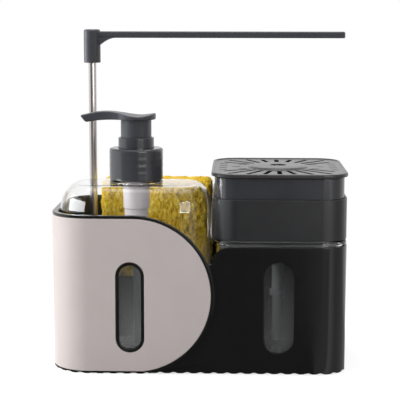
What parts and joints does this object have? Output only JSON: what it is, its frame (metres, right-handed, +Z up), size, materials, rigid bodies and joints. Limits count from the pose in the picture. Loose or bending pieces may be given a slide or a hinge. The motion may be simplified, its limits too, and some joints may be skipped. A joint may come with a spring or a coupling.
{
  "type": "sink caddy set with pump bottle and press dispenser",
  "caption": "Sink caddy with white D-shaped front panel holding a clear pump bottle, a press-down soap tank with drain plate, a sponge and a swivelling cloth rail on a steel post.",
  "frame": {"origin": "on the counter, under the middle of the caddy's footprint, at the non-slip mat's underside", "axes": "+Z up, -Y towards the user (the white panel's side), +X to the user's right (the press dispenser's side)"},
  "size_m": [0.1826, 0.096, 0.2069],
  "materials": {
    "dark_satin": "satin moulded plastic",
    "charcoal_plastic": "satin moulded plastic",
    "charcoal_gloss": "glossy moulded plastic",
    "white_panel": "warm white satin plastic",
    "white_plastic": "white moulded plastic",
    "clear_plastic": "clear moulded plastic",
    "dark_rubber": "matt rubber",
    "pale_rubber": "soft seal",
    "polished_steel": "polished stainless steel",
    "spring_steel": "drawn steel wire",
    "yellow_sponge": "dry cellulose sponge"
  },
  "bodies": {
    "caddy": {"caddy_body": "dark_satin", "fascia_panel": "white_panel", "base_mat": "dark_rubber", "rail_post": "polished_steel"},
    "rail": {"rail_arm": "charcoal_plastic", "rail_bush": "white_plastic"},
    "sponge_block": {"sponge": "yellow_sponge"},
    "bottle": {"lotion_bottle": "clear_plastic"},
    "pump_unit": {"pump_housing": "white_plastic", "closure_gasket": "pale_rubber", "stem_guide": "white_plastic", "pump_dip_tube": "clear_plastic", "pump_ball": "polished_steel", "pump_spring": "spring_steel"},
    "closure": {"pump_closure": "charcoal_plastic", "pump_collar": "charcoal_plastic"},
    "plunger": {"pump_piston": "white_plastic"},
    "pump_top": {"pump_head": "charcoal_plastic", "pump_stem": "white_plastic"},
    "tank": {"soap_tank": "clear_plastic"},
    "deck": {"tank_deck": "dark_satin", "tank_gasket": "pale_rubber", "press_cylinder": "white_plastic", "cylinder_cap": "white_plastic", "cylinder_nut": "white_plastic", "press_dip_tube": "clear_plastic", "press_ball": "polished_steel", "press_spring": "spring_steel"},
    "tray": {"press_tray": "charcoal_gloss", "press_stem": "white_plastic", "press_piston": "white_plastic", "soap_outlet": "charcoal_plastic"},
    "plate": {"drain_plate": "charcoal_plastic"}
  },
  "joints": [
    {"name": "rail_swivel", "type": "hinge", "parent": "caddy", "child": "rail", "pos_m": [-0.0711, 0.0296, 0.195], "axis": [0, 0, 1], "continuous": true},
    {"name": "sponge_lift", "type": "slide", "parent": "caddy", "child": "sponge_block", "axis": [0, 0, 1], "range_m": [0, 0.08]},
    {"name": "bottle_lift", "type": "slide", "parent": "caddy", "child": "bottle", "axis": [0, 0, 1], "range_m": [0, 0.095]},
    {"name": "pump_rise", "type": "slide", "parent": "bottle", "child": "pump_unit", "axis": [0, 0, 1], "range_m": [0, 0.0048]},
    {"name": "closure_turn", "type": "hinge", "parent": "pump_unit", "child": "closure", "pos_m": [-0.03915, -0.0155, 0.124], "axis": [0, 0, 1], "range_deg": [0, 540]},
    {"name": "pump_press", "type": "slide", "parent": "pump_unit", "child": "plunger", "axis": [0, 0, -1], "range_m": [0, 0.0104], "stiffness_N_per_m": 400, "springref_m": -0.015, "deforming": ["pump_spring"]},
    {"name": "head_turn", "type": "hinge", "parent": "plunger", "child": "pump_top", "pos_m": [-0.03915, -0.0155, 0.15], "axis": [0, 0, 1], "continuous": true},
    {"name": "tank_lift", "type": "slide", "parent": "caddy", "child": "tank", "axis": [0, 0, 1], "range_m": [0, 0.076]},
    {"name": "deck_lift", "type": "slide", "parent": "tank", "child": "deck", "axis": [0, 0, 1], "range_m": [0, 0.075]},
    {"name": "tray_press", "type": "slide", "parent": "deck", "child": "tray", "axis": [0, 0, -1], "range_m": [0, 0.012], "stiffness_N_per_m": 500, "springref_m": -0.012, "deforming": ["press_spring"]},
    {"name": "plate_lift", "type": "slide", "parent": "tray", "child": "plate", "axis": [0, 0, 1], "range_m": [0, 0.02]}
  ],
  "couplings": [
    {"joint": "closure_turn", "follows": "pump_rise", "rad_per_m": 1963.5}
  ]
}
